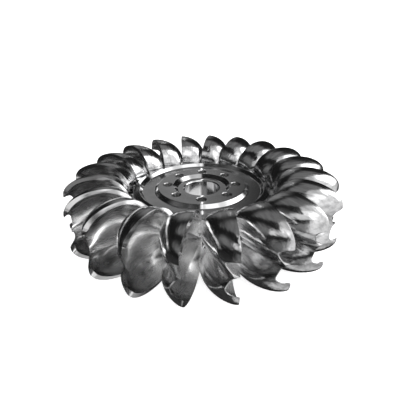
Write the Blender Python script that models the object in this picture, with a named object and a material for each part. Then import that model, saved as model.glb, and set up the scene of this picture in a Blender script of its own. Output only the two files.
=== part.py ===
"""Pelton turbine runner, lying flat on the rims of its buckets.

A turned steel disc carries twenty cast double-cup buckets on its rim. The runner's axis is +Z,
the floor under it is z = 0, and all sizes are in metres.
"""
import math

import bmesh
import bpy
from mathutils import Matrix, Vector

# Whole runner
BUCKET_COUNT = 20
TIP_REACH = 0.500
FACE_OFFSET = 0.074
FIRST_BUCKET_ANGLE = math.radians(-104.15)
SEAT_GAP = 0.0003

# Bucket, measured along its own face plane
HALF_WIDTH = 0.134
BUCKET_DEPTH = 0.105
DEEPEST_AT = 0.345
CUP_DEPTH = 0.083
CUP_DEEPEST_AT = 0.375
LIP_WIDTH = 0.0115
LIP_DROP = 0.0025
WIDEST_AT = 0.383
TIP_OVERRUN = 0.0055
TIP_HALF_WIDTH = 0.064
ROOT_REACH = 0.245
STEM_END = 0.271
STEM_HALF_WIDTH = 0.046
STEM_DEPTH = 0.070
CUP_START = 0.284
CUP_START_HALF_WIDTH = 0.028
BACK_FULLNESS = 0.62
GROOVE_SHARE = 0.66
TIP_GROOVE_SHARE = 0.42
GROOVE_FULLNESS = 0.7

# Notch in the tip of each bucket
NOTCH_HALF_WIDTH = 0.0565
NOTCH_FLOOR = 0.4855
NOTCH_CORNER = 0.016
SPLITTER_TIP = 0.4915
BEAK_HALF_WIDTH = 0.012

# Turned disc: each face is its height above the middle plane of the runner
BORE_RADIUS = 0.068
BORE_CHAMFER = 0.0035
RECESS_FLOOR_RADIUS = 0.093
RECESS_TOP_RADIUS = 0.110
RECESS_FACE = 0.0445
BOSS_RADIUS = 0.168
BOSS_FACE = 0.0575
BOSS_FOOT_RADIUS = 0.1815
WEB_FACE = 0.0445
STEP_INNER_RADIUS = 0.2265
STEP_OUTER_RADIUS = 0.238
STEP_FACE = 0.057
RIM_RADIUS = 0.262
RIM_FACE = 0.050
EDGE_WIDTH = 0.004
EDGE_DROP = 0.003
BOLT_HOLES = 8
BOLT_CIRCLE_RADIUS = 0.1305
BOLT_HOLE_RADIUS = 0.018

# How finely the faceted shapes are divided
DISC_SEGMENTS = 60
HOLE_SEGMENTS = 20
ROOT_STATIONS = 3
TIP_STATIONS = 5
CUP_STEPS = 5
NOTCH_STEPS = 3
SHORTEST_EDGE = 0.0003

MIDDLE_HEIGHT = HALF_WIDTH
STEEL_COLOR = (0.62, 0.62, 0.63, 1.0)


def clear_scene():
    for old_object in list(bpy.data.objects):
        bpy.data.objects.remove(old_object, do_unlink=True)


def steel_material(name, roughness):
    material = bpy.data.materials.new(name)
    material.use_nodes = True
    shader = material.node_tree.nodes["Principled BSDF"]
    shader.inputs["Base Color"].default_value = STEEL_COLOR
    shader.inputs["Metallic"].default_value = 1.0
    shader.inputs["Roughness"].default_value = roughness
    return material


def add_object(name, mesh, material):
    mesh.materials.clear()
    mesh.materials.append(material)
    new_object = bpy.data.objects.new(name, mesh)
    bpy.context.scene.collection.objects.link(new_object)
    return new_object


def finish_mesh(name, shape):
    bmesh.ops.recalc_face_normals(shape, faces=shape.faces)
    if shape.calc_volume(signed=True) < 0:
        bmesh.ops.reverse_faces(shape, faces=shape.faces)
    mesh = bpy.data.meshes.new(name)
    shape.to_mesh(mesh)
    shape.free()
    mesh.shade_smooth()
    mesh.set_sharp_from_angle(angle=math.radians(35))
    return mesh


def cut_mesh(name, body, cutters):
    """Return the body's mesh with every cutter taken out of it."""
    for cutter in cutters:
        cutter.hide_render = True
        cutter.display_type = "WIRE"
        boolean = body.modifiers.new("cut", "BOOLEAN")
        boolean.operation = "DIFFERENCE"
        boolean.solver = "MANIFOLD"
        boolean.object = cutter
    bpy.context.view_layer.update()
    depsgraph = bpy.context.evaluated_depsgraph_get()
    mesh = bpy.data.meshes.new_from_object(body.evaluated_get(depsgraph))
    mesh.name = name
    shape = bmesh.new()
    shape.from_mesh(mesh)
    bmesh.ops.remove_doubles(shape, verts=shape.verts, dist=SHORTEST_EDGE)
    bmesh.ops.dissolve_degenerate(shape, edges=shape.edges, dist=SHORTEST_EDGE / 2)
    shape.to_mesh(mesh)
    shape.free()
    for spent_object in [body] + list(cutters):
        bpy.data.objects.remove(spent_object, do_unlink=True)
    return mesh


# Bucket stations run from the root (angle -90) over the widest point (0) to the tip (90).
def station_angles():
    root_side = [math.radians(-90 + 90 * i / ROOT_STATIONS) for i in range(ROOT_STATIONS)]
    tip_side = [math.radians(90 * i / TIP_STATIONS) for i in range(TIP_STATIONS + 1)]
    return root_side + tip_side


def back_depth(along, end_depth, reach):
    """Depth of the lobes' lowest line, which is deepest nearer the root than the rim is wide."""
    from_deepest = (along - DEEPEST_AT) / (reach - DEEPEST_AT)
    fullness = max(0.0, 1 - from_deepest ** 2) ** BACK_FULLNESS
    return end_depth + (BUCKET_DEPTH - end_depth) * fullness


def outer_section(angle, share):
    """Point on the bucket's back: share is 0 in the groove, 1 at the rim."""
    bulge = math.cos(angle)
    if angle < 0:
        reach, end_width = STEM_END, STEM_HALF_WIDTH
    else:
        reach, end_width = TIP_REACH + TIP_OVERRUN, TIP_HALF_WIDTH
    half_width = end_width + (HALF_WIDTH - end_width) * bulge
    along = WIDEST_AT + abs(reach - WIDEST_AT) * math.sin(angle)
    if along < DEEPEST_AT:
        depth = back_depth(along, STEM_DEPTH, STEM_END)
        groove = GROOVE_SHARE
    else:
        depth = back_depth(along, LIP_DROP, TIP_REACH + TIP_OVERRUN)
        towards_tip = (along - DEEPEST_AT) / (TIP_REACH - DEEPEST_AT)
        groove = GROOVE_SHARE + (TIP_GROOVE_SHARE - GROOVE_SHARE) * towards_tip
    turn = math.pi * share
    if share <= 0.5:
        across = half_width * share
        rise = math.sin(turn) ** (2 * GROOVE_FULLNESS)
        depth_share = groove + (1 - groove) * rise
    else:
        across = half_width / 2 * (1 - math.cos(turn))
        depth_share = math.sin(turn)
    return along, across, LIP_DROP + (depth - LIP_DROP) * depth_share


def inner_section(angle, share):
    """Point inside the cup: share is 0 on the splitter, 1 at the rim."""
    bulge = math.cos(angle)
    cup_end = TIP_REACH + TIP_OVERRUN - LIP_WIDTH
    if angle < 0:
        reach, end_width = CUP_START, CUP_START_HALF_WIDTH
    else:
        reach, end_width = cup_end, TIP_HALF_WIDTH - LIP_WIDTH
    half_width = end_width + (HALF_WIDTH - LIP_WIDTH - end_width) * bulge
    along = WIDEST_AT + abs(reach - WIDEST_AT) * math.sin(angle)
    end = CUP_START if along < CUP_DEEPEST_AT else cup_end
    from_deepest = (along - CUP_DEEPEST_AT) / (end - CUP_DEEPEST_AT)
    depth = CUP_DEPTH * max(0.0, 1 - from_deepest ** 2) ** BACK_FULLNESS
    turn = math.pi * share
    across = half_width / 2 * (1 - math.cos(turn))
    return along, across, depth * math.sin(turn)


def bucket_point(shape, along, across, deep):
    return shape.verts.new(Vector((along, FACE_OFFSET - deep, across)))


def section_row(shape, section, angle):
    row = []
    for step in range(-CUP_STEPS, CUP_STEPS + 1):
        along, across, deep = section(angle, abs(step) / CUP_STEPS)
        side = 1 if step >= 0 else -1
        row.append(bucket_point(shape, along, side * across, deep))
    return row


def bridge_rows(shape, first, second):
    for i in range(len(first) - 1):
        corners = [first[i], first[i + 1], second[i + 1], second[i]]
        distinct = [v for n, v in enumerate(corners) if v not in corners[:n]]
        if len(distinct) > 2:
            shape.faces.new(distinct)


def whole_bucket():
    """Double cup before the notch is cut, its face plane parallel to X and Z."""
    shape = bmesh.new()
    outer = [section_row(shape, outer_section, angle) for angle in station_angles()]
    inner = [section_row(shape, inner_section, angle) for angle in station_angles()]
    for rows in (outer, inner):
        for i in range(len(rows) - 1):
            bridge_rows(shape, rows[i], rows[i + 1])
    for end in (0, -1):
        bridge_rows(shape, [row[end] for row in outer], [row[end] for row in inner])
    bridge_rows(shape, outer[-1], inner[-1])
    foot = [shape.verts.new((ROOT_REACH, back.co.y, back.co.z)) for back in outer[0]]
    bridge_rows(shape, outer[0], foot)
    front = [shape.verts.new((ROOT_REACH, foot[0].co.y, back.co.z)) for back in foot[1:-1]]
    front = [foot[0]] + front + [foot[-1]]
    bridge_rows(shape, foot, front)
    neck = [shape.verts.new((STEM_END, outer[0][0].co.y, back.co.z)) for back in foot[1:-1]]
    neck = [outer[0][0]] + neck + [outer[0][-1]]
    bridge_rows(shape, front, neck)
    bridge_rows(shape, neck, inner[0])
    return finish_mesh("bucket_whole", shape)


def seat_cutter():
    """Disc that shapes each bucket's foot, one seat gap larger than the runner's own rim."""
    shape = bmesh.new()
    radius = RIM_RADIUS + SEAT_GAP / math.cos(math.pi / DISC_SEGMENTS)
    bmesh.ops.create_cone(shape, cap_ends=True, segments=DISC_SEGMENTS, radius1=radius,
                          radius2=radius, depth=HALF_WIDTH * 2)
    return finish_mesh("seat", shape)


def notch_cutter():
    """Round-cornered gap in the tip, with the splitter's beak standing out of its floor."""
    middle = NOTCH_HALF_WIDTH - NOTCH_CORNER
    outline = [(TIP_REACH + NOTCH_CORNER, NOTCH_HALF_WIDTH)]
    for i in range(NOTCH_STEPS + 1):
        turn = math.pi / 2 * i / NOTCH_STEPS
        along = NOTCH_FLOOR + NOTCH_CORNER * (1 - math.sin(turn))
        outline.append((along, middle + NOTCH_CORNER * math.cos(turn)))
    outline.append((NOTCH_FLOOR, BEAK_HALF_WIDTH))
    outline.append((SPLITTER_TIP, 0.0))
    mirrored = [(along, -across) for along, across in reversed(outline[:-1])]
    shape = bmesh.new()
    ends = []
    for deep in (-BUCKET_DEPTH, BUCKET_DEPTH * 2):
        ring = [bucket_point(shape, along, across, deep) for along, across in outline + mirrored]
        shape.faces.new(ring)
        ends.append(ring)
    for i in range(len(ends[0])):
        j = (i + 1) % len(ends[0])
        shape.faces.new([ends[0][i], ends[0][j], ends[1][j], ends[1][i]])
    return finish_mesh("notch", shape)


def build_buckets():
    material = steel_material("cast_steel", 0.18)
    body = add_object("bucket_body", whole_bucket(), material)
    cutters = [add_object("notch_cutter", notch_cutter(), material),
               add_object("seat_cutter", seat_cutter(), material)]
    mesh = cut_mesh("bucket", body, cutters)
    mesh.shade_smooth()
    mesh.set_sharp_from_angle(angle=math.radians(35))
    for number in range(BUCKET_COUNT):
        angle = FIRST_BUCKET_ANGLE + 2 * math.pi * number / BUCKET_COUNT
        bucket = add_object(f"bucket_{number + 1:02d}", mesh, material)
        bucket.location = (0, 0, MIDDLE_HEIGHT)
        bucket.rotation_euler = (0, 0, angle)


def disc_profile():
    """Upper half of the disc's turned section, from the bore outwards."""
    return [
        (BORE_RADIUS, RECESS_FACE - BORE_CHAMFER),
        (BORE_RADIUS + BORE_CHAMFER, RECESS_FACE),
        (RECESS_FLOOR_RADIUS, RECESS_FACE),
        (RECESS_TOP_RADIUS - EDGE_WIDTH, BOSS_FACE - EDGE_DROP),
        (RECESS_TOP_RADIUS, BOSS_FACE),
        (BOSS_RADIUS, BOSS_FACE),
        (BOSS_RADIUS + EDGE_WIDTH, BOSS_FACE - 2 * EDGE_DROP),
        (BOSS_FOOT_RADIUS, WEB_FACE),
        (STEP_INNER_RADIUS, WEB_FACE),
        (STEP_OUTER_RADIUS, STEP_FACE),
        (RIM_RADIUS, RIM_FACE),
    ]


def turned_disc():
    upper = disc_profile()
    section = upper + [(radius, -height) for radius, height in reversed(upper)]
    shape = bmesh.new()
    rings = []
    for radius, height in section:
        ring = []
        for i in range(DISC_SEGMENTS):
            turn = FIRST_BUCKET_ANGLE + 2 * math.pi * i / DISC_SEGMENTS
            ring.append(shape.verts.new((radius * math.cos(turn), radius * math.sin(turn), height)))
        rings.append(ring)
    for first, second in zip(rings, rings[1:] + rings[:1]):
        for i in range(DISC_SEGMENTS):
            j = (i + 1) % DISC_SEGMENTS
            shape.faces.new([first[i], first[j], second[j], second[i]])
    return finish_mesh("disc_turned", shape)


def hole_cutters(material):
    cutters = []
    for number in range(BOLT_HOLES):
        turn = 2 * math.pi * number / BOLT_HOLES
        shape = bmesh.new()
        bmesh.ops.create_cone(shape, cap_ends=True, segments=HOLE_SEGMENTS,
                              radius1=BOLT_HOLE_RADIUS, radius2=BOLT_HOLE_RADIUS,
                              depth=BOSS_FACE * 4)
        place = Vector((BOLT_CIRCLE_RADIUS * math.cos(turn), BOLT_CIRCLE_RADIUS * math.sin(turn), 0))
        bmesh.ops.transform(shape, matrix=Matrix.Translation(place), verts=shape.verts)
        cutters.append(add_object(f"hole_{number + 1}", finish_mesh("hole", shape), material))
    return cutters


def build_disc():
    material = steel_material("turned_steel", 0.22)
    body = add_object("disc_body", turned_disc(), material)
    mesh = cut_mesh("hub_disc", body, hole_cutters(material))
    mesh.shade_smooth()
    mesh.set_sharp_from_angle(angle=math.radians(25))
    disc = add_object("hub_disc", mesh, material)
    disc.location = (0, 0, MIDDLE_HEIGHT)


clear_scene()
build_disc()
build_buckets()
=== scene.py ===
import math

import bmesh
import bpy
from mathutils import Matrix, Vector


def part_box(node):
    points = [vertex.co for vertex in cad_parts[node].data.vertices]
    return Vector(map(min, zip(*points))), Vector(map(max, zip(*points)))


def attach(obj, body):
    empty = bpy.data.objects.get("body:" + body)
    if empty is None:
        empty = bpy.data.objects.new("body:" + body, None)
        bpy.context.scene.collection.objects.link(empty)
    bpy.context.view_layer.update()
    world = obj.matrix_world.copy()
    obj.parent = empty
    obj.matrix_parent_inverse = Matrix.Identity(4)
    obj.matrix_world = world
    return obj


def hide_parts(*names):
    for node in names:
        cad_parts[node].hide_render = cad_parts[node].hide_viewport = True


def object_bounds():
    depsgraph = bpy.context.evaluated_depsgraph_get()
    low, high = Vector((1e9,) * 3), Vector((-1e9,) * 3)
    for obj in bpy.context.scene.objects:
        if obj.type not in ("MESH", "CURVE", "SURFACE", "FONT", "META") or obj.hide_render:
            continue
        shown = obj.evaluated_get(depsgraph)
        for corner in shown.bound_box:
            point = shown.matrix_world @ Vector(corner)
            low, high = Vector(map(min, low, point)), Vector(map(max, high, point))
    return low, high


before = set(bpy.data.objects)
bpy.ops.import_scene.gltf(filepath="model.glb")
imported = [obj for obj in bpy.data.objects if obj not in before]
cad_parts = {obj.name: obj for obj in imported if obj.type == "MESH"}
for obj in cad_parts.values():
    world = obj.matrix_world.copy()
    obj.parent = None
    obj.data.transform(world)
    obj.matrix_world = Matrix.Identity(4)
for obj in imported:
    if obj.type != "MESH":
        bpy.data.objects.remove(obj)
cadLow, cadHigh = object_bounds()
middleHeight = (cadLow.z + cadHigh.z) / 2
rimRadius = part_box("hub_disc")[1].x
scene = bpy.context.scene
print("frame loaded, runner", round(cadHigh.x - cadLow.x, 3), "m across")


# helpers

weldDistance = 1e-6       # corners of a finished shape closer than this become one
cornerDistance = 1e-7     # corners of one face closer than this count as one


def addPiece(name, data):
    piece = bpy.data.objects.new(name, data)
    scene.collection.objects.link(piece)
    return piece


def dropPiece(piece):
    bpy.data.objects.remove(piece, do_unlink=True)


def meshFromShape(name, shape):
    bmesh.ops.remove_doubles(shape, verts=shape.verts, dist=weldDistance)
    bmesh.ops.recalc_face_normals(shape, faces=shape.faces)
    if shape.calc_volume(signed=True) < 0:
        bmesh.ops.reverse_faces(shape, faces=shape.faces)
    mesh = bpy.data.meshes.new(name)
    shape.to_mesh(mesh)
    shape.free()
    return mesh


def addRing(shape, radius, height, sides, start=0.0):
    ring = []
    for i in range(sides):
        turn = start + 2 * math.pi * i / sides
        ring.append(shape.verts.new((radius * math.cos(turn), radius * math.sin(turn), height)))
    return ring


def bridge(shape, first, second):
    # faces between two rows of corners, also where the rows touch
    for i in range(len(first) - 1):
        corners = []
        for vert in (first[i], first[i + 1], second[i + 1], second[i]):
            if all((vert.co - other.co).length > cornerDistance for other in corners):
                corners.append(vert)
        if len(corners) > 2:
            shape.faces.new(corners)


def bridgeRings(shape, rings):
    for first, second in zip(rings, rings[1:]):
        bridge(shape, first + first[:1], second + second[:1])


def bakedMesh(name, piece):
    # what the modifiers make of the piece, as a plain mesh
    bpy.context.view_layer.update()
    evaluated = piece.evaluated_get(bpy.context.evaluated_depsgraph_get())
    mesh = bpy.data.meshes.new_from_object(evaluated, preserve_all_data_layers=True,
                                           depsgraph=bpy.context.evaluated_depsgraph_get())
    mesh.name = name
    return mesh


def flatShaded(name, mesh):
    # large faces keep their own shading right up to the rounded edges beside them
    piece = addPiece(name, mesh)
    weighted = piece.modifiers.new("weighted", "WEIGHTED_NORMAL")
    weighted.mode = "FACE_AREA"
    weighted.weight = 90
    weighted.keep_sharp = True
    result = bakedMesh(name, piece)
    dropPiece(piece)
    return result


def nodeMath(nodes, links, operation, *values):
    node = nodes.new("ShaderNodeMath")
    node.operation = operation
    for socket, value in zip(node.inputs, values):
        if isinstance(value, (int, float)):
            socket.default_value = value
        else:
            links.new(value, socket)
    return node.outputs["Value"]


def newTree(name, inputs):
    # a Geometry Nodes group that takes a shape and the named inputs, and gives a shape
    tree = bpy.data.node_groups.new(name, "GeometryNodeTree")
    sockets = [("Geometry", "INPUT", "Geometry")]
    sockets += [(title, "INPUT", kind) for title, kind in inputs]
    sockets += [("Geometry", "OUTPUT", "Geometry")]
    for title, end, kind in sockets:
        tree.interface.new_socket(title, in_out=end, socket_type="NodeSocket" + kind)
    return tree, tree.nodes, tree.links


def joinNodes(links, wires):
    for source, output, target, socket in wires:
        links.new(source.outputs[output], target.inputs[socket])


def addTree(piece, name, tree, values):
    modifier = piece.modifiers.new(name, "NODES")
    modifier.node_group = tree
    for socket in tree.interface.items_tree:
        if socket.item_type == "SOCKET" and socket.in_out == "INPUT" and socket.name in values:
            modifier[socket.identifier] = values[socket.name]


# one bucket, lying along +X with its face towards +Y

bucket = {
    "count": 20,
    "firstAngle": math.radians(-104.15),
    "tipReach": 0.500,
    "faceOffset": 0.074,              # from the runner's axis to the plane of the bucket's face
    "halfWidth": 0.134,
    "depth": 0.105,
    "deepestAt": 0.345,
    "widestAt": 0.383,
    "cupDepth": 0.083,
    "cupDeepestAt": 0.375,
    "cupFullness": 0.62,
    "lipWidth": 0.0115,
    "lipDrop": 0.0025,
    "tipOverrun": 0.0055,
    "tipHalfWidth": 0.064,
    "stemEnd": 0.271,
    "stemHalfWidth": 0.046,
    "stemDepth": 0.070,
    "cupStart": 0.284,
    "cupStartHalfWidth": 0.028,
    "grooveShare": 0.66,
    "tipGrooveShare": 0.42,
    "grooveFullness": 1.4,
    "tipFullness": 0.62,
    "rootFullness": 0.80,
    "notchHalfWidth": 0.0565,
    "notchFloor": 0.4855,
    "notchCorner": 0.016,
    "thinFrom": 0.440,                # the wall thins from here out to the notch
    "thinFade": 0.022,
    "thinWall": 0.0035,
    "beakTip": 0.4915,
    "beakHalfWidth": 0.012,
    "seatGap": 0.0003,
    "edgeRound": 0.0022,
    "edgeSteps": 2,
    "edgeAngle": math.radians(38),    # edges sharper than this are rounded
    "sharpAngle": math.radians(60),   # and what is still sharper than this is shaded as an edge
    "rows": 34,
    "columns": 22,                    # from the splitter to the bucket's edge
    "halvings": 40,                   # steps in the search for a column's end
}
tipEnd = bucket["tipReach"] + bucket["tipOverrun"]
cupEnd = tipEnd - bucket["lipWidth"]


def backDepth(along, endDepth, reach):
    # the back's outline seen from the side, from its deepest place out to one end
    offset = (along - bucket["deepestAt"]) / (reach - bucket["deepestAt"])
    power = bucket["tipFullness"] if along > bucket["deepestAt"] else bucket["rootFullness"]
    return endDepth + (bucket["depth"] - endDepth) * max(0.0, 1 - offset ** 2) ** power


def planform(angle, share, inside):
    # angle is -90 degrees at the root, 0 where the bucket is widest and 90 at the tip,
    # and share is 0 at the splitter and 1 at the bucket's edge
    if angle < 0:
        reach = bucket["cupStart"] if inside else bucket["stemEnd"]
        endWidth = bucket["cupStartHalfWidth"] if inside else bucket["stemHalfWidth"]
    else:
        reach = cupEnd if inside else tipEnd
        endWidth = bucket["tipHalfWidth"] - (bucket["lipWidth"] if inside else 0)
    full = bucket["halfWidth"] - (bucket["lipWidth"] if inside else 0)
    halfWidth = endWidth + (full - endWidth) * math.cos(angle)
    along = bucket["widestAt"] + abs(reach - bucket["widestAt"]) * math.sin(angle)
    return along, halfWidth * (1 - math.cos(math.pi * share)) / 2


def smooth(low, high, value):
    share = min(1.0, max(0.0, (value - low) / (high - low)))
    return share * share * (3 - 2 * share)


def cupPoint(angle, share):
    along, across = planform(angle, share, True)
    end = bucket["cupStart"] if along < bucket["cupDeepestAt"] else cupEnd
    offset = (along - bucket["cupDeepestAt"]) / (end - bucket["cupDeepestAt"])
    fullness = max(0.0, 1 - offset ** 2) ** bucket["cupFullness"]
    depth = bucket["cupDepth"] * fullness * math.sin(math.pi * share)
    # the wall is ground thin towards the notch
    thin = smooth(bucket["thinFrom"], bucket["notchFloor"], along)
    fadeEnd = bucket["notchHalfWidth"] + bucket["thinFade"]
    thin *= 1 - smooth(bucket["notchHalfWidth"], fadeEnd, across)
    thin *= smooth(0.0, bucket["beakHalfWidth"], across)
    if thin > 0:
        outside = backDepthAt(along, across) - bucket["thinWall"]
        depth += max(0.0, outside - depth) * thin
    return along, across, depth


def backDepthAt(along, across):
    # how deep the back lies under a place on the tip side of the face plane
    angle = math.asin(min(1.0, (along - bucket["widestAt"]) / (tipEnd - bucket["widestAt"])))
    widening = bucket["halfWidth"] - bucket["tipHalfWidth"]
    halfWidth = bucket["tipHalfWidth"] + widening * math.cos(angle)
    share = math.acos(max(-1.0, 1 - 2 * min(1.0, across / halfWidth))) / math.pi
    return backPoint(angle, share)[2]


def backPoint(angle, share):
    along, across = planform(angle, share, False)
    if along < bucket["deepestAt"]:
        depth = backDepth(along, bucket["stemDepth"], bucket["stemEnd"])
        groove = bucket["grooveShare"]
    else:
        depth = backDepth(along, bucket["lipDrop"], tipEnd)
        towardsTip = (along - bucket["deepestAt"]) / (bucket["tipReach"] - bucket["deepestAt"])
        deepening = bucket["tipGrooveShare"] - bucket["grooveShare"]
        groove = bucket["grooveShare"] + deepening * towardsTip
    # the inner half of each lobe dips into the groove behind the splitter
    spread = (1 - math.cos(math.pi * share)) / 2
    if spread < 0.5:
        fullness = groove + (1 - groove) * math.sin(math.pi * spread) ** bucket["grooveFullness"]
    else:
        fullness = math.sin(math.pi * share)
    return along, across, bucket["lipDrop"] + (depth - bucket["lipDrop"]) * fullness


def notchLimit(across):
    # how far out the notch lets the metal reach at this distance from the splitter
    corner = bucket["notchHalfWidth"] - bucket["notchCorner"]
    if across < bucket["beakHalfWidth"]:
        rise = 1 - across / bucket["beakHalfWidth"]
        return bucket["notchFloor"] + (bucket["beakTip"] - bucket["notchFloor"]) * rise
    if across < corner:
        return bucket["notchFloor"]
    if across < bucket["notchHalfWidth"]:
        into = (across - corner) / bucket["notchCorner"]
        return bucket["notchFloor"] + bucket["notchCorner"] * (1 - math.sqrt(1 - into ** 2))
    return math.inf


def endAngle(share, inside):
    # the station where this column meets the notch, or the tip if it misses it
    low, high = 0.0, math.pi / 2
    along, across = planform(high, share, inside)
    if along <= notchLimit(across):
        return high
    for halving in range(bucket["halvings"]):
        middle = (low + high) / 2
        along, across = planform(middle, share, inside)
        if along > notchLimit(across):
            high = middle
        else:
            low = middle
    return low


def surfaceGrid(shape, pointAt, inside):
    # columns run across the bucket, from its lower edge to its upper one
    cup = shape.verts.layers.float.get("cup") or shape.verts.layers.float.new("cup")
    columns = []
    for step in range(-bucket["columns"], bucket["columns"] + 1):
        share = abs(step) / bucket["columns"]
        last = endAngle(share, inside)
        column = []
        for row in range(bucket["rows"] + 1):
            angle = -math.pi / 2 + (last + math.pi / 2) * row / bucket["rows"]
            along, across, deep = pointAt(angle, share)
            side = 1 if step >= 0 else -1
            vert = shape.verts.new((along, bucket["faceOffset"] - deep, side * across))
            vert[cup] = 1.0 if inside else 0.0
            column.append(vert)
        columns.append(column)
    return columns


def bucketShape():
    shape = bmesh.new()
    back = surfaceGrid(shape, backPoint, False)
    cups = surfaceGrid(shape, cupPoint, True)
    for columns in (back, cups):
        for first, second in zip(columns, columns[1:]):
            bridge(shape, first, second)
    # the lip
    for end in (0, -1):
        bridge(shape, back[end], cups[end])
    # the notch wall
    bridge(shape, [column[-1] for column in back], [column[-1] for column in cups])
    # the foot, down to the rim
    seatRadius = rimRadius + bucket["seatGap"]
    stem = [column[0] for column in back]
    foot = []
    for vert in stem:
        along = math.sqrt(seatRadius ** 2 - vert.co.y ** 2)
        foot.append(shape.verts.new((along, vert.co.y, vert.co.z)))
    bridge(shape, stem, foot)
    frontY = stem[0].co.y
    frontAlong = math.sqrt(seatRadius ** 2 - frontY ** 2)
    front = [shape.verts.new((frontAlong, frontY, vert.co.z)) for vert in foot[1:-1]]
    front = [foot[0]] + front + [foot[-1]]
    neck = [shape.verts.new((bucket["stemEnd"], frontY, vert.co.z)) for vert in foot[1:-1]]
    neck = [stem[0]] + neck + [stem[-1]]
    bridge(shape, foot, front)
    bridge(shape, front, neck)
    bridge(shape, neck, [column[0] for column in cups])
    return meshFromShape("bucketPlain", shape)


def finishedBucket():
    plain = addPiece("bucketPlain", bucketShape())
    bevel = plain.modifiers.new("roundedEdges", "BEVEL")
    bevel.width = bucket["edgeRound"]
    bevel.segments = bucket["edgeSteps"]
    bevel.limit_method = "ANGLE"
    bevel.angle_limit = bucket["edgeAngle"]
    mesh = bakedMesh("bucket", plain)
    dropPiece(plain)
    mesh.shade_smooth()
    mesh.set_sharp_from_angle(angle=bucket["sharpAngle"])
    return addPiece("bucketMaster", flatShaded("bucket", mesh))


# the ring of buckets, by Geometry Nodes

def storedAttribute(nodes, name, kind, domain):
    node = nodes.new("GeometryNodeStoreNamedAttribute")
    node.data_type = kind
    node.domain = domain
    node.inputs["Name"].default_value = name
    return node


def ringTree():
    tree, nodes, links = newTree("bucketRing", (
        ("Buckets", "Int"), ("First angle", "Float"), ("Middle height", "Float"),
        ("Finish", "Material")))
    given = nodes.new("NodeGroupInput")
    result = nodes.new("NodeGroupOutput")
    places = nodes.new("GeometryNodePoints")
    index = nodes.new("GeometryNodeInputIndex")
    pitch = nodeMath(nodes, links, "DIVIDE", 2 * math.pi, given.outputs["Buckets"])
    turn = nodeMath(nodes, links, "MULTIPLY_ADD", index.outputs["Index"], pitch,
                    given.outputs["First angle"])
    rotation = nodes.new("ShaderNodeCombineXYZ")
    links.new(turn, rotation.inputs["Z"])
    height = nodes.new("ShaderNodeCombineXYZ")
    own = nodes.new("GeometryNodeInputPosition")
    grain = storedAttribute(nodes, "grain", "FLOAT_VECTOR", "POINT")
    instances = nodes.new("GeometryNodeInstanceOnPoints")
    number = storedAttribute(nodes, "bucketNumber", "FLOAT", "INSTANCE")
    realize = nodes.new("GeometryNodeRealizeInstances")
    finish = nodes.new("GeometryNodeSetMaterial")
    joinNodes(links, (
        (given, "Geometry", grain, "Geometry"),
        (own, "Position", grain, "Value"),
        (given, "Buckets", places, "Count"),
        (given, "Middle height", height, "Z"),
        (height, "Vector", places, "Position"),
        (places, "Points", instances, "Points"),
        (grain, "Geometry", instances, "Instance"),
        (rotation, "Vector", instances, "Rotation"),
        (instances, "Instances", number, "Geometry"),
        (index, "Index", number, "Value"),
        (number, "Geometry", realize, "Geometry"),
        (realize, "Geometry", finish, "Geometry"),
        (given, "Finish", finish, "Material"),
        (finish, "Geometry", result, "Geometry"),
    ))
    return tree


def bucketRing(finish):
    master = finishedBucket()
    addTree(master, "ring", ringTree(), {
        "Buckets": bucket["count"],
        "First angle": bucket["firstAngle"],
        "Middle height": middleHeight,
        "Finish": finish,
    })
    mesh = bakedMesh("bucketRing", master)
    dropPiece(master)
    piece = addPiece("bucketRing", mesh)
    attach(piece, "root")
    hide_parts(*[f"bucket_{n + 1:02d}" for n in range(bucket["count"])])
    return piece


# the turned disc, its section listed from the bore outwards; a face is a height above the middle
# and a round is the radius of the arc at a corner

disc = {
    "boreRadius": 0.068,
    "boreChamfer": 0.0035,
    "boreRound": 0.0008,
    "recessFloorRadius": 0.093,
    "recessFloorRound": 0.003,
    "recessTopRadius": 0.110,
    "recessTopRound": 0.005,
    "recessFace": 0.0445,
    "bossRadius": 0.168,
    "bossRound": 0.004,
    "bossFace": 0.0575,
    "bossFootRadius": 0.1815,
    "bossFootRound": 0.004,
    "webFace": 0.0445,
    "stepInnerRadius": 0.2265,
    "stepOuterRadius": 0.238,
    "stepRound": 0.003,
    "stepFace": 0.057,
    "rimRound": 0.003,
    "rimFace": 0.050,
    "holes": 8,
    "holeCircle": 0.1305,
    "holeRadius": 0.018,
    "holeChamfer": 0.0012,
    "holeSides": 32,
    "turns": 180,
    "roundSteps": 4,
    "sharpAngle": math.radians(30),
}


def roundedSection(corners):
    # each corner is a radius, a height and the radius of the arc that rounds it
    section = []
    for i, (x, z, arc) in enumerate(corners):
        here = Vector((x, z))
        towardsLast = (Vector(corners[i - 1][:2]) - here).normalized()
        towardsNext = (Vector(corners[(i + 1) % len(corners)][:2]) - here).normalized()
        halfAngle = towardsLast.angle(towardsNext) / 2
        reach = arc / math.tan(halfAngle)
        centre = here + (towardsLast + towardsNext).normalized() * arc / math.sin(halfAngle)
        start = here + towardsLast * reach - centre
        end = here + towardsNext * reach - centre
        sweep = start.angle_signed(end)
        for step in range(disc["roundSteps"] + 1):
            turn = -sweep * step / disc["roundSteps"]
            section.append(centre + Vector((start.x * math.cos(turn) - start.y * math.sin(turn),
                                            start.x * math.sin(turn) + start.y * math.cos(turn))))
    return section


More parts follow.
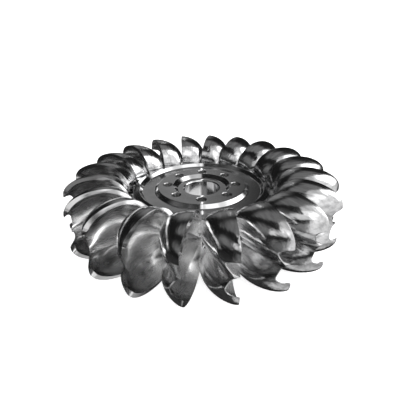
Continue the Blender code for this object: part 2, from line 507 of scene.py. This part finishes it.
def discSection():
    upper = [
        (disc["boreRadius"], disc["recessFace"] - disc["boreChamfer"], disc["boreRound"]),
        (disc["boreRadius"] + disc["boreChamfer"], disc["recessFace"], disc["boreRound"]),
        (disc["recessFloorRadius"], disc["recessFace"], disc["recessFloorRound"]),
        (disc["recessTopRadius"], disc["bossFace"], disc["recessTopRound"]),
        (disc["bossRadius"], disc["bossFace"], disc["bossRound"]),
        (disc["bossFootRadius"], disc["webFace"], disc["bossFootRound"]),
        (disc["stepInnerRadius"], disc["webFace"], disc["stepRound"]),
        (disc["stepOuterRadius"], disc["stepFace"], disc["stepRound"]),
        (rimRadius, disc["rimFace"], disc["rimRound"]),
    ]
    lower = [(x, -z, arc) for x, z, arc in reversed(upper)]
    return roundedSection(upper + lower)


def turnedDisc():
    shape = bmesh.new()
    rings = [addRing(shape, point.x, middleHeight + point.y, disc["turns"], bucket["firstAngle"])
             for point in discSection()]
    bridgeRings(shape, rings + rings[:1])
    return meshFromShape("discPlain", shape)


def holeCutter():
    # a drill with a flared mouth at both faces
    shape = bmesh.new()
    face = disc["bossFace"]
    flare = disc["holeChamfer"]
    radius = disc["holeRadius"]
    section = [(radius + flare * 2, face + flare), (radius, face - flare),
               (radius, flare - face), (radius + flare * 2, -face - flare)]
    rings = [addRing(shape, across, height, disc["holeSides"]) for across, height in section]
    bridgeRings(shape, rings)
    shape.faces.new(rings[0])
    shape.faces.new(rings[-1])
    return meshFromShape("holeCutter", shape)


def drilledTree():
    tree, nodes, links = newTree("drilledDisc", (
        ("Holes", "Int"), ("Hole circle", "Float"), ("Middle height", "Float"),
        ("Cutter", "Object"), ("Finish", "Material")))
    given = nodes.new("NodeGroupInput")
    result = nodes.new("NodeGroupOutput")
    circle = nodes.new("GeometryNodeMeshCircle")
    height = nodes.new("ShaderNodeCombineXYZ")
    lifted = nodes.new("GeometryNodeTransform")
    cutter = nodes.new("GeometryNodeObjectInfo")
    drills = nodes.new("GeometryNodeInstanceOnPoints")
    realize = nodes.new("GeometryNodeRealizeInstances")
    drill = nodes.new("GeometryNodeMeshBoolean")
    drill.operation = "DIFFERENCE"
    drill.solver = "EXACT"
    finish = nodes.new("GeometryNodeSetMaterial")
    joinNodes(links, (
        (given, "Holes", circle, "Vertices"),
        (given, "Hole circle", circle, "Radius"),
        (given, "Middle height", height, "Z"),
        (circle, "Mesh", lifted, "Geometry"),
        (height, "Vector", lifted, "Translation"),
        (lifted, "Geometry", drills, "Points"),
        (given, "Cutter", cutter, "Object"),
        (cutter, "Geometry", drills, "Instance"),
        (drills, "Instances", realize, "Geometry"),
        (given, "Geometry", drill, "Mesh 1"),
        (realize, "Geometry", drill, "Mesh 2"),
        (drill, "Mesh", finish, "Geometry"),
        (given, "Finish", finish, "Material"),
        (finish, "Geometry", result, "Geometry"),
    ))
    return tree


def hubDisc(finish):
    blank = addPiece("discBlank", turnedDisc())
    cutter = addPiece("holeCutter", holeCutter())
    addTree(blank, "drilled", drilledTree(), {
        "Holes": disc["holes"],
        "Hole circle": disc["holeCircle"],
        "Middle height": middleHeight,
        "Cutter": cutter,
        "Finish": finish,
    })
    mesh = bakedMesh("hubDisc", blank)
    dropPiece(blank)
    dropPiece(cutter)
    mesh.shade_smooth()
    mesh.set_sharp_from_angle(angle=disc["sharpAngle"])
    piece = addPiece("hubDisc", flatShaded("hubDisc", mesh))
    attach(piece, "root")
    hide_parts("hub_disc")
    return piece


# materials

def newFinish(name):
    material = bpy.data.materials.new(name)
    material.use_nodes = True
    tree = material.node_tree
    return material, tree.nodes, tree.links, tree.nodes["Principled BSDF"]


def noiseFrom(nodes, links, source, scale, detail, roughness, number=None):
    # along a single value, over a place, or over a place with its own pattern for each bucket
    noise = nodes.new("ShaderNodeTexNoise")
    noise.inputs["Scale"].default_value = scale
    noise.inputs["Detail"].default_value = detail
    noise.inputs["Roughness"].default_value = roughness
    if source.type == "VALUE":
        noise.noise_dimensions = "1D"
        links.new(source, noise.inputs["W"])
        return noise.outputs["Fac"]
    links.new(source, noise.inputs["Vector"])
    if number is not None:
        noise.noise_dimensions = "4D"
        links.new(number, noise.inputs["W"])
    return noise.outputs["Fac"]


def remapped(nodes, links, value, low, high, newLow=0, newHigh=1):
    node = nodes.new("ShaderNodeMapRange")
    node.interpolation_type = "SMOOTHSTEP"
    names = ("From Min", "From Max", "To Min", "To Max")
    for name, number in zip(names, (low, high, newLow, newHigh)):
        node.inputs[name].default_value = number
    links.new(value, node.inputs["Value"])
    return node.outputs["Result"]


def mixedColour(nodes, links, share, first, second):
    mix = nodes.new("ShaderNodeMix")
    mix.data_type = "RGBA"
    links.new(share, mix.inputs["Factor"])
    # the node has sockets for every kind of value: its colours are inputs 6 and 7 and output 2
    for socket, colour in ((mix.inputs[6], first), (mix.inputs[7], second)):
        if isinstance(colour, tuple):
            socket.default_value = (*colour, 1)
        else:
            links.new(colour, socket)
    return mix.outputs[2]


def addBump(nodes, links, height, distance, under=None):
    bump = nodes.new("ShaderNodeBump")
    bump.inputs["Strength"].default_value = 1
    bump.inputs["Distance"].default_value = distance
    links.new(height, bump.inputs["Height"])
    if under is not None:
        links.new(under, bump.inputs["Normal"])
    return bump.outputs["Normal"]


turnedFinish = {
    "steel": (0.77, 0.77, 0.775),
    "handled": (0.68, 0.68, 0.685),   # where oil and hands have dulled it
    "handledSpan": (0.35, 0.7),       # of the smears, from clean to dulled
    "polish": 0.105,                  # roughness halfway between the best and the worst
    "ringChange": 0.03,
    "smearChange": 0.03,
    # painted shade: the bolt holes' walls are darker than the turned faces, to stand for the
    # shade inside the holes
    "drilled": (0.62, 0.62, 0.62),
    "drilledRoughness": 0.24,
    "drilledReach": 1.1,              # either side of the bolt circle, in hole radii
    "uprightBelow": 0.5,              # how far a wall's normal may lean up or down
    "anisotropy": 1.0,                # the marks spread the light outwards, not along themselves
    "sheenTurn": 0.25,
    # scale, detail and roughness of each noise
    "grooves": (700, 2, 0.6),         # the scale is tool marks for each metre of radius
    "rings": (55, 3, 0.6),
    "smears": (11, 5, 0.6),
    "grooveDepth": 0.000006,
}


def turnedSteel():
    look = turnedFinish
    material, nodes, links, shader = newFinish("turnedSteel")
    place = nodes.new("ShaderNodeTexCoord").outputs["Object"]
    parts = nodes.new("ShaderNodeSeparateXYZ")
    links.new(place, parts.inputs["Vector"])
    flat = nodes.new("ShaderNodeCombineXYZ")
    links.new(parts.outputs["X"], flat.inputs["X"])
    links.new(parts.outputs["Y"], flat.inputs["Y"])
    length = nodes.new("ShaderNodeVectorMath")
    length.operation = "LENGTH"
    links.new(flat.outputs["Vector"], length.inputs[0])
    radius = length.outputs["Value"]
    # the lathe's tool runs outwards on the faces and upwards in the bore
    toolPath = nodeMath(nodes, links, "ADD", radius, parts.outputs["Z"])
    grooves = noiseFrom(nodes, links, toolPath, *look["grooves"])
    rings = noiseFrom(nodes, links, toolPath, *look["rings"])
    smears = noiseFrom(nodes, links, place, *look["smears"])
    # the drilled holes: upright walls on the bolt circle, with their real rougher drilled finish
    # and a darker colour that is painted shade inside the holes
    normal = nodes.new("ShaderNodeSeparateXYZ")
    links.new(nodes.new("ShaderNodeNewGeometry").outputs["Normal"], normal.inputs["Vector"])
    lean = nodeMath(nodes, links, "ABSOLUTE", normal.outputs["Z"])
    upright = nodeMath(nodes, links, "LESS_THAN", lean, look["uprightBelow"])
    onCircle = nodeMath(nodes, links, "COMPARE", radius, disc["holeCircle"],
                        disc["holeRadius"] * look["drilledReach"])
    drilled = nodeMath(nodes, links, "MULTIPLY", upright, onCircle)
    best = look["polish"] - look["ringChange"] / 2 - look["smearChange"] / 2
    ringed = nodeMath(nodes, links, "MULTIPLY_ADD", rings, look["ringChange"], best)
    smeared = nodeMath(nodes, links, "MULTIPLY_ADD", smears, look["smearChange"], ringed)
    drilledRough = nodeMath(nodes, links, "MULTIPLY", drilled, look["drilledRoughness"])
    rough = nodeMath(nodes, links, "MAXIMUM", smeared, drilledRough)
    handled = remapped(nodes, links, smears, *look["handledSpan"])
    colour = mixedColour(nodes, links, handled, look["steel"], look["handled"])
    # painted shade inside the bolt holes, on top of their real drilled finish
    colour = mixedColour(nodes, links, drilled, colour, look["drilled"])
    links.new(colour, shader.inputs["Base Color"])
    links.new(rough, shader.inputs["Roughness"])
    links.new(addBump(nodes, links, grooves, look["grooveDepth"]), shader.inputs["Normal"])
    around = nodes.new("ShaderNodeVectorMath")
    around.operation = "CROSS_PRODUCT"
    around.inputs[0].default_value = (0, 0, 1)
    links.new(flat.outputs["Vector"], around.inputs[1])
    links.new(around.outputs["Vector"], shader.inputs["Tangent"])
    shader.inputs["Metallic"].default_value = 1
    shader.inputs["Anisotropic"].default_value = look["anisotropy"]
    shader.inputs["Anisotropic Rotation"].default_value = look["sheenTurn"]
    return material


castFinish = {
    "back": (0.76, 0.76, 0.765),
    "dull": (0.50, 0.50, 0.505),      # between the marks, where the belt didn't reach
    "cup": (0.79, 0.79, 0.79),
    "lip": (0.80, 0.80, 0.80),
    "dullSpan": (0.40, 0.66),         # of the marks, from polished to dull
    "polishSpan": (0.32, 0.68),       # of the marks, from the back's best polish to its worst
    "polishLow": 0.11,
    "polishHigh": 0.21,
    "cupRoughness": 0.08,             # added to the back's
    "lipPolish": 0.20,
    "lipDepth": 0.004,                # how far below the bucket's face the lip's finish reaches
    "patternStep": 3.7,               # moves the marks on from one bucket to the next
    # scale along, across and down the bucket, then detail and roughness of the noise
    "streaks": (5, 60, 60),           # belt marks run along the bucket
    "fine": (14, 220, 220),
    "markDetail": 2,
    "markRoughness": 0.5,
    "streakShare": 0.85,              # in the dull marks; the rest is patches
    "patchShare": 0.15,
    # scale, detail and roughness of each noise
    "waves": (17, 2, 0.45),           # hand grinding leaves the surface slightly wavy
    "patches": (8.5, 4, 0.6),
    "waveHeight": 0.0003,
    "waveInCup": 0.15,                # share of the height that is left in the cups
    "streakHeight": 0.0013,
    "streakInCup": 0.20,
    "fineHeight": 0.00003,
}


def castSteel():
    look = castFinish
    material, nodes, links, shader = newFinish("polishedCastSteel")
    place = nodes.new("ShaderNodeTexCoord").outputs["Object"]
    given = {}
    for name in ("grain", "bucketNumber", "cup"):
        given[name] = nodes.new("ShaderNodeAttribute")
        given[name].attribute_name = name
    grain = given["grain"].outputs["Vector"]
    cup = given["cup"].outputs["Fac"]
    ownPattern = nodeMath(nodes, links, "MULTIPLY", given["bucketNumber"].outputs["Fac"],
                          look["patternStep"])
    marks = []
    for scale in (look["streaks"], look["fine"]):
        stretched = nodes.new("ShaderNodeMapping")
        stretched.inputs["Scale"].default_value = scale
        links.new(grain, stretched.inputs["Vector"])
        marks.append(noiseFrom(nodes, links, stretched.outputs["Vector"], 1, look["markDetail"],
                               look["markRoughness"], ownPattern))
    streaks, fine = marks
    waves = noiseFrom(nodes, links, place, *look["waves"])
    patches = noiseFrom(nodes, links, place, *look["patches"])
    parts = nodes.new("ShaderNodeSeparateXYZ")
    links.new(grain, parts.inputs["Vector"])
    lip = remapped(nodes, links, parts.outputs["Y"], bucket["faceOffset"] - look["lipDepth"],
                   bucket["faceOffset"] - look["lipDepth"] / 2)
    mixed = nodeMath(nodes, links, "MULTIPLY_ADD", streaks, look["streakShare"],
                     nodeMath(nodes, links, "MULTIPLY", patches, look["patchShare"]))
    dull = remapped(nodes, links, mixed, *look["dullSpan"])
    colour = mixedColour(nodes, links, dull, look["back"], look["dull"])
    colour = mixedColour(nodes, links, cup, colour, look["cup"])
    links.new(mixedColour(nodes, links, lip, colour, look["lip"]), shader.inputs["Base Color"])
    body = remapped(nodes, links, mixed, *look["polishSpan"],
                    look["polishLow"], look["polishHigh"])
    body = nodeMath(nodes, links, "MULTIPLY_ADD", cup, look["cupRoughness"], body)
    offLip = nodeMath(nodes, links, "SUBTRACT", 1.0, lip)
    rough = nodeMath(nodes, links, "MULTIPLY_ADD", body, offLip,
                     nodeMath(nodes, links, "MULTIPLY", lip, look["lipPolish"]))
    links.new(rough, shader.inputs["Roughness"])
    normal = None
    for height, inCup, distance in ((waves, look["waveInCup"], look["waveHeight"]),
                                    (streaks, look["streakInCup"], look["streakHeight"])):
        left = nodeMath(nodes, links, "MULTIPLY_ADD", cup, inCup - 1, 1.0)
        height = nodeMath(nodes, links, "MULTIPLY", height, left)
        normal = addBump(nodes, links, height, distance, normal)
    links.new(addBump(nodes, links, fine, look["fineHeight"], normal), shader.inputs["Normal"])
    shader.inputs["Metallic"].default_value = 1
    return material


# camera

cameraSizes = {
    "focal": 339.4,           # in pixels, like the frame
    "frame": 400,
    "sensor": 36,
    "aside": 0.0158,
    "away": 1.203,
    "aboveMiddle": 0.589,
    "down": math.radians(26.47),
    "pan": math.radians(1.11),
    "roll": math.radians(-1.0),
}


def addCamera():
    sizes = cameraSizes
    data = bpy.data.cameras.new("camera")
    data.sensor_width = sizes["sensor"]
    data.lens = sizes["focal"] * sizes["sensor"] / sizes["frame"]
    camera = addPiece("camera", data)
    height = sizes["aboveMiddle"] + middleHeight
    place = Matrix.Translation((sizes["aside"], -sizes["away"], height))
    pan = Matrix.Rotation(sizes["pan"], 4, "Z")
    tilt = Matrix.Rotation(math.pi / 2 - sizes["down"], 4, "X")
    camera.matrix_world = place @ (pan @ tilt) @ Matrix.Rotation(sizes["roll"], 4, "Z")
    scene.camera = camera


# floor and light

studioFloor = {
    "radius": 9.0,
    "wallBend": 4.0,          # the floor turns up into a wall with this radius
    "wallTop": 7.0,
    "bendSteps": 12,
    "sides": 96,
    "colour": (0.9, 0.9, 0.9, 1),
    "roughness": 0.9,
    "glow": 0.78,             # the floor is overlit, so that almost no shadow shows
}


def addFloor():
    # a round studio floor that bends up into its own wall
    sizes = studioFloor
    profile = [(sizes["radius"], 0.0)]
    for step in range(1, sizes["bendSteps"] + 1):
        turn = math.pi / 2 * step / sizes["bendSteps"]
        profile.append((sizes["radius"] + sizes["wallBend"] * math.sin(turn),
                        sizes["wallBend"] * (1 - math.cos(turn))))
    profile.append((sizes["radius"] + sizes["wallBend"], sizes["wallTop"]))
    shape = bmesh.new()
    rings = [addRing(shape, radius, height, sizes["sides"]) for radius, height in profile]
    shape.faces.new(rings[0])
    bridgeRings(shape, rings)
    bmesh.ops.recalc_face_normals(shape, faces=shape.faces)
    mesh = bpy.data.meshes.new("floor")
    shape.to_mesh(mesh)
    shape.free()
    mesh.shade_smooth()
    floor = addPiece("floor", mesh)
    material, _, _, shader = newFinish("paleFloor")
    shader.inputs["Base Color"].default_value = sizes["colour"]
    shader.inputs["Roughness"].default_value = sizes["roughness"]
    shader.inputs["Specular IOR Level"].default_value = 0.0
    shader.inputs["Emission Color"].default_value = (1, 1, 1, 1)
    shader.inputs["Emission Strength"].default_value = sizes["glow"]
    mesh.materials.append(material)
    # the steel mirrors the studio's own light from below the horizon, not this floor
    floor.visible_glossy = False
    floor.visible_shadow = False


studioBoxes = {
    # compass angle of the middle from straight behind the runner towards its right, half width,
    # lowest and highest height angle, softness of the edge, all in degrees, and strength
    "rightBox": (112, 55, 14, 66, 8, 0.95),
    "rightNear": (76, 18, 8, 60, 8, 2.1),
    "rightHorizon": (122, 52, -42, 16, 10, 0.85),
    "behind": (-172, 34, 30, 56, 5, 0.75),
    "overhead": (180, 5, 52, 80, 4, 1.1),
    "overRight": (150, 27, 46, 72, 6, 0.7),
    "frontLow": (-172, 26, -34, 6, 10, 0.20),
    "back": (-8, 13, 6, 34, 8, 0.21),
    "farFloor": (-8, 30, -50, -8, 12, 0.16),
    "frontFloor": (152, 72, -90, -48, 8, 0.60),
    "leftWall": (-114, 26, 20, 54, 12, 0.16),
    "leftFloor": (-100, 80, -80, -20, 20, 0.03),
    "ceiling": (112, 62, 68, 90, 6, 0.65),
    "farCeiling": (2, 54, 48, 90, 8, 0.17),
}
surround = 0.012              # strength of the light from everywhere, under the boxes


def softWindow(nodes, links, angle, middle, half, soft):
    # 1 inside the window, 0 outside it, with a soft edge
    off = nodeMath(nodes, links, "SUBTRACT", angle, middle)
    off = nodeMath(nodes, links, "ABSOLUTE", off)
    return remapped(nodes, links, off, half + soft, max(half - soft, 0.0))


def addWorld():
    world = bpy.data.worlds.new("studio")
    world.use_nodes = True
    nodes = world.node_tree.nodes
    links = world.node_tree.links
    direction = nodes.new("ShaderNodeTexCoord").outputs["Generated"]
    height = nodes.new("ShaderNodeSeparateXYZ")
    links.new(direction, height.inputs["Vector"])
    up = nodeMath(nodes, links, "ARCSINE", height.outputs["Z"])
    total = surround
    for name, (compass, half, low, high, soft, strength) in studioBoxes.items():
        turned = nodes.new("ShaderNodeVectorRotate")
        turned.rotation_type = "Z_AXIS"
        turned.label = name
        turned.inputs["Angle"].default_value = math.radians(compass)
        links.new(direction, turned.inputs["Vector"])
        parts = nodes.new("ShaderNodeSeparateXYZ")
        links.new(turned.outputs["Vector"], parts.inputs["Vector"])
        aside = nodeMath(nodes, links, "ARCTAN2", parts.outputs["X"], parts.outputs["Y"])
        edge = math.radians(soft)
        across = softWindow(nodes, links, aside, 0.0, math.radians(half), edge)
        tall = softWindow(nodes, links, up, math.radians((low + high) / 2),
                          math.radians((high - low) / 2), edge)
        window = nodeMath(nodes, links, "MULTIPLY", across, tall)
        box = nodeMath(nodes, links, "MULTIPLY", window, strength)
        total = nodeMath(nodes, links, "ADD", box, total)
    background = nodes["Background"]
    background.inputs["Color"].default_value = (1, 1, 1, 1)
    links.new(total, background.inputs["Strength"])
    scene.world = world


stripLamp = {
    "aside": math.radians(-0.7),   # from straight behind the runner
    "away": 3.0,
    "bottom": 0.95,
    "top": 2.5,
    "width": 0.012,
    "power": 0.22,
}


def addStrip():
    # a narrow upright light behind the runner draws the bright line across the turned faces
    sizes = stripLamp
    data = bpy.data.lights.new("strip", "AREA")
    data.shape = "RECTANGLE"
    data.size = sizes["width"]
    data.size_y = sizes["top"] - sizes["bottom"]
    data.energy = sizes["power"]
    lamp = addPiece("strip", data)
    middle = (sizes["bottom"] + sizes["top"]) / 2
    lamp.location = (sizes["away"] * math.sin(sizes["aside"]),
                     sizes["away"] * math.cos(sizes["aside"]), middle)
    inwards = Vector((0, 0, middle)) - lamp.location
    lamp.rotation_euler = inwards.to_track_quat("-Z", "Y").to_euler()
    lamp.visible_camera = False


buckets = bucketRing(castSteel())
print("bucket ring", len(buckets.data.polygons), "faces")
hub = hubDisc(turnedSteel())
print("hub disc", len(hub.data.polygons), "faces")
addCamera()
addFloor()
addWorld()
addStrip()
scene.view_settings.view_transform = "Standard"
print("camera, floor and light ready")
